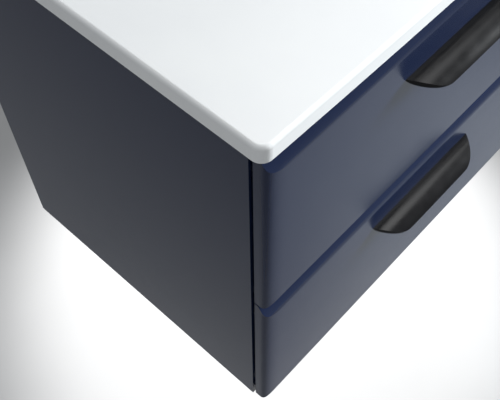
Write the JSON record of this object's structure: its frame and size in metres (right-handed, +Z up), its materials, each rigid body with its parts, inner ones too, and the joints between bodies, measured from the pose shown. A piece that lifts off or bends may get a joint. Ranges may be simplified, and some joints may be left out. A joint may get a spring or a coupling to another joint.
{
  "type": "wall-hung bathroom vanity cabinet",
  "caption": "Wall-hung bathroom vanity with soft-edged navy drawer fronts, dark half-moon cup pulls, telescopic slides and a thin white cast basin top.",
  "frame": {"origin": "centre of the four wall fixing holes, on the surface of the wall", "axes": "+X to the right seen from in front, -Y out of the wall towards the user, +Z up; the drawers open along -Y"},
  "size_m": [0.613, 0.49, 0.57],
  "materials": {
    "navy_satin_lacquer": "satin polyurethane lacquer on MDF",
    "navy_faced_board": "matt navy melamine on chipboard",
    "grey_faced_board": "light grey linen-look melamine on chipboard",
    "white_cast_mineral": "gloss white gel coat on cast mineral",
    "black_satin_metal": "satin black powder coat on die-cast zinc",
    "beech": "bare turned beech",
    "black_bumper": "soft black rubber",
    "zinc_screws": "bright zinc plating",
    "zinc_slide_steel": "bright zinc plating on rolled steel",
    "zinc_bracket_steel": "zinc plating on folded steel"
  },
  "bodies": {
    "cabinet": {"basin_top": "white_cast_mineral", "bottom_panel": "navy_faced_board", "cabinet_slide_screws": "zinc_screws", "carcass_dowels": "beech", "drawer_bumpers": "black_bumper", "front_stretcher": "navy_faced_board", "hook_plate_left": "zinc_bracket_steel", "hook_plate_right": "zinc_bracket_steel", "hook_plate_screws": "zinc_screws", "lower_slide_cabinet_member_left": "zinc_slide_steel", "lower_slide_cabinet_member_right": "zinc_slide_steel", "rear_bottom_rail": "navy_faced_board", "rear_top_rail": "navy_faced_board", "side_panel_left": "navy_satin_lacquer", "side_panel_right": "navy_satin_lacquer", "upper_slide_cabinet_member_left": "zinc_slide_steel", "upper_slide_cabinet_member_right": "zinc_slide_steel", "wall_plate_left": "zinc_bracket_steel", "wall_plate_right": "zinc_bracket_steel"},
    "upper_drawer": {"trap_wall_front": "grey_faced_board", "trap_wall_left": "grey_faced_board", "trap_wall_right": "grey_faced_board", "upper_drawer_back_left": "grey_faced_board", "upper_drawer_back_right": "grey_faced_board", "upper_drawer_base": "grey_faced_board", "upper_drawer_dowels": "beech", "upper_drawer_front": "navy_satin_lacquer", "upper_drawer_inner_front": "grey_faced_board", "upper_drawer_side_left": "grey_faced_board", "upper_drawer_side_right": "grey_faced_board", "upper_drawer_slide_screws": "zinc_screws", "upper_front_screws": "zinc_screws", "upper_handle": "black_satin_metal", "upper_handle_screws": "zinc_screws", "upper_slide_drawer_member_left": "zinc_slide_steel", "upper_slide_drawer_member_right": "zinc_slide_steel"},
    "lower_drawer": {"lower_drawer_back": "grey_faced_board", "lower_drawer_base": "grey_faced_board", "lower_drawer_dowels": "beech", "lower_drawer_front": "navy_satin_lacquer", "lower_drawer_inner_front": "grey_faced_board", "lower_drawer_side_left": "grey_faced_board", "lower_drawer_side_right": "grey_faced_board", "lower_drawer_slide_screws": "zinc_screws", "lower_front_screws": "zinc_screws", "lower_handle": "black_satin_metal", "lower_handle_screws": "zinc_screws", "lower_slide_drawer_member_left": "zinc_slide_steel", "lower_slide_drawer_member_right": "zinc_slide_steel"},
    "upper_slide_middle_left": {"upper_slide_middle_member_left": "zinc_slide_steel"},
    "upper_slide_middle_right": {"upper_slide_middle_member_right": "zinc_slide_steel"},
    "lower_slide_middle_left": {"lower_slide_middle_member_left": "zinc_slide_steel"},
    "lower_slide_middle_right": {"lower_slide_middle_member_right": "zinc_slide_steel"}
  },
  "joints": [
    {"name": "upper_drawer_slide", "type": "slide", "parent": "cabinet", "child": "upper_drawer", "axis": [0, -1, 0], "range_m": [0, 0.4]},
    {"name": "lower_drawer_slide", "type": "slide", "parent": "cabinet", "child": "lower_drawer", "axis": [0, -1, 0], "range_m": [0, 0.4]},
    {"name": "upper_slide_middle_left_travel", "type": "slide", "parent": "cabinet", "child": "upper_slide_middle_left", "axis": [0, -1, 0], "range_m": [0, 0.2]},
    {"name": "upper_slide_middle_right_travel", "type": "slide", "parent": "cabinet", "child": "upper_slide_middle_right", "axis": [0, -1, 0], "range_m": [0, 0.2]},
    {"name": "lower_slide_middle_left_travel", "type": "slide", "parent": "cabinet", "child": "lower_slide_middle_left", "axis": [0, -1, 0], "range_m": [0, 0.2]},
    {"name": "lower_slide_middle_right_travel", "type": "slide", "parent": "cabinet", "child": "lower_slide_middle_right", "axis": [0, -1, 0], "range_m": [0, 0.2]}
  ],
  "couplings": [
    {"joint": "upper_slide_middle_left_travel", "follows": "upper_drawer_slide", "ratio": 0.5},
    {"joint": "upper_slide_middle_right_travel", "follows": "upper_drawer_slide", "ratio": 0.5},
    {"joint": "lower_slide_middle_left_travel", "follows": "lower_drawer_slide", "ratio": 0.5},
    {"joint": "lower_slide_middle_right_travel", "follows": "lower_drawer_slide", "ratio": 0.5}
  ]
}
